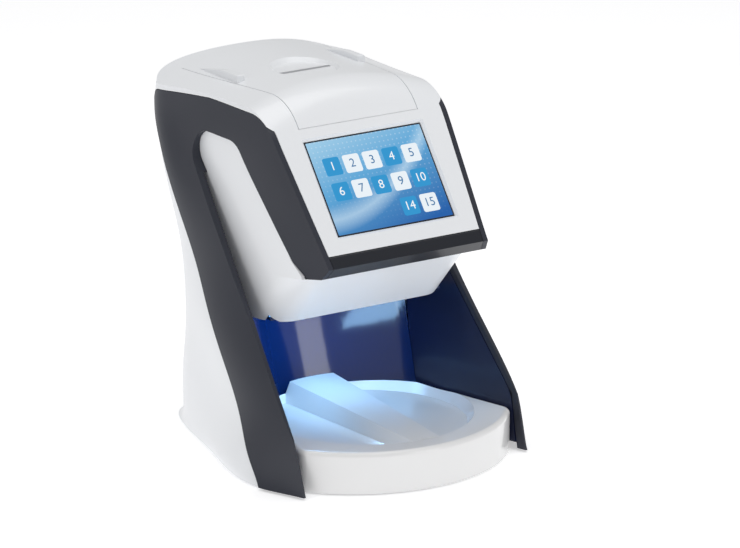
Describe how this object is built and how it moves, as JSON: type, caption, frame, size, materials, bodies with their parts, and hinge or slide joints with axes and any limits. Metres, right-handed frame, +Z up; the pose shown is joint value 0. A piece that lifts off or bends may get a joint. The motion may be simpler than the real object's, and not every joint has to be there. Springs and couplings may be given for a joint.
{
  "type": "phosphor plate scanner",
  "caption": "Desktop scanner for dental imaging plates with a leaning touch screen, a slotted lid, dark side frames and a round tray in a blue alcove.",
  "frame": {"origin": "on the desk, under the middle of the object's box", "axes": "X to the right as the user faces the screen, Y to the back, Z up"},
  "size_m": [0.1808, 0.2172, 0.22],
  "materials": {
    "aluminium": "machined",
    "black_plastic": "matt",
    "board": "circuit board",
    "dark_plastic": "satin dark grey moulding",
    "display": "display",
    "light": "diffusing",
    "mirror": "polished",
    "optic_glass": "clear",
    "polished_steel": "ground",
    "rubber": "matt",
    "sheet_steel": "zinc plated",
    "smoked_panel": "glossy smoked blue",
    "touch_glass": "glossy",
    "white_plastic": "satin white moulding"
  },
  "bodies": {
    "casing": {"alcove_ceiling": "smoked_panel", "alcove_light_bar": "light", "alcove_panel": "smoked_panel", "base_plate": "dark_plastic", "board_screws": "polished_steel", "board_spacers": "sheet_steel", "chassis_rear_plate": "sheet_steel", "chin_bar": "dark_plastic", "chute": "black_plastic", "connector_panel": "black_plastic", "data_socket": "black_plastic", "detector_housing": "sheet_steel", "display_bracket": "sheet_steel", "display_module": "display", "display_screws": "polished_steel", "drive_belt": "rubber", "eraser_lamp": "light", "foot_pads": "rubber", "head_shell": "white_plastic", "infeed_guide": "black_plastic", "laser_module": "aluminium", "left_alcove_wall": "smoked_panel", "left_chassis_plate": "sheet_steel", "left_frame": "dark_plastic", "light_collector": "black_plastic", "main_board": "board", "mirror_motor": "sheet_steel", "neck_cover": "white_plastic", "network_socket": "black_plastic", "optics_shelf": "black_plastic", "power_inlet": "black_plastic", "rear_shell": "white_plastic", "right_alcove_wall": "smoked_panel", "right_chassis_plate": "sheet_steel", "right_frame": "dark_plastic", "roller_bushes": "black_plastic", "scan_lens": "optic_glass", "switch_housing": "black_plastic", "touch_glass": "touch_glass", "transport_motor": "sheet_steel"},
    "lid": {"lid": "white_plastic"},
    "tray": {"tray": "white_plastic"},
    "switch_rocker": {"switch_rocker": "black_plastic"},
    "upper_drive_roller": {"upper_drive_shaft": "polished_steel", "upper_drive_sleeve": "rubber", "upper_pulley": "black_plastic"},
    "upper_idler_roller": {"upper_idler_shaft": "polished_steel", "upper_idler_sleeve": "rubber"},
    "lower_drive_roller": {"lower_drive_shaft": "polished_steel", "lower_drive_sleeve": "rubber", "lower_pulley": "black_plastic"},
    "lower_idler_roller": {"lower_idler_shaft": "polished_steel", "lower_idler_sleeve": "rubber"},
    "motor_rotor": {"motor_shaft": "polished_steel", "motor_pulley": "aluminium"},
    "polygon_mirror": {"polygon_mirror": "mirror"}
  },
  "joints": [
    {"name": "lid_lift", "type": "slide", "parent": "casing", "child": "lid", "axis": [0, 0, 1], "range_m": [0, 0.04]},
    {"name": "tray_slide", "type": "slide", "parent": "casing", "child": "tray", "axis": [0, -1, 0], "range_m": [0, 0.06]},
    {"name": "switch_rock", "type": "hinge", "parent": "casing", "child": "switch_rocker", "pos_m": [-0.027, 0.085, 0.0225], "axis": [1, 0, 0], "range_deg": [-16, 0]},
    {"name": "upper_drive_spin", "type": "hinge", "parent": "casing", "child": "upper_drive_roller", "pos_m": [0, 0.0265, 0.186], "axis": [1, 0, 0], "continuous": true},
    {"name": "upper_idler_spin", "type": "hinge", "parent": "casing", "child": "upper_idler_roller", "pos_m": [0, 0.0415, 0.186], "axis": [1, 0, 0], "continuous": true},
    {"name": "lower_drive_spin", "type": "hinge", "parent": "casing", "child": "lower_drive_roller", "pos_m": [0, 0.0265, 0.128], "axis": [1, 0, 0], "continuous": true},
    {"name": "lower_idler_spin", "type": "hinge", "parent": "casing", "child": "lower_idler_roller", "pos_m": [0, 0.0415, 0.128], "axis": [1, 0, 0], "continuous": true},
    {"name": "motor_spin", "type": "hinge", "parent": "casing", "child": "motor_rotor", "pos_m": [0.037, 0.062, 0.112], "axis": [1, 0, 0], "continuous": true},
    {"name": "mirror_spin", "type": "hinge", "parent": "casing", "child": "polygon_mirror", "pos_m": [0, 0.064, 0.151], "axis": [0, 0, 1], "continuous": true}
  ],
  "couplings": [
    {"joint": "upper_idler_spin", "follows": "upper_drive_spin", "ratio": -1},
    {"joint": "lower_drive_spin", "follows": "upper_drive_spin", "ratio": 1},
    {"joint": "lower_idler_spin", "follows": "upper_drive_spin", "ratio": -1},
    {"joint": "motor_spin", "follows": "upper_drive_spin", "ratio": 1.6}
  ]
}
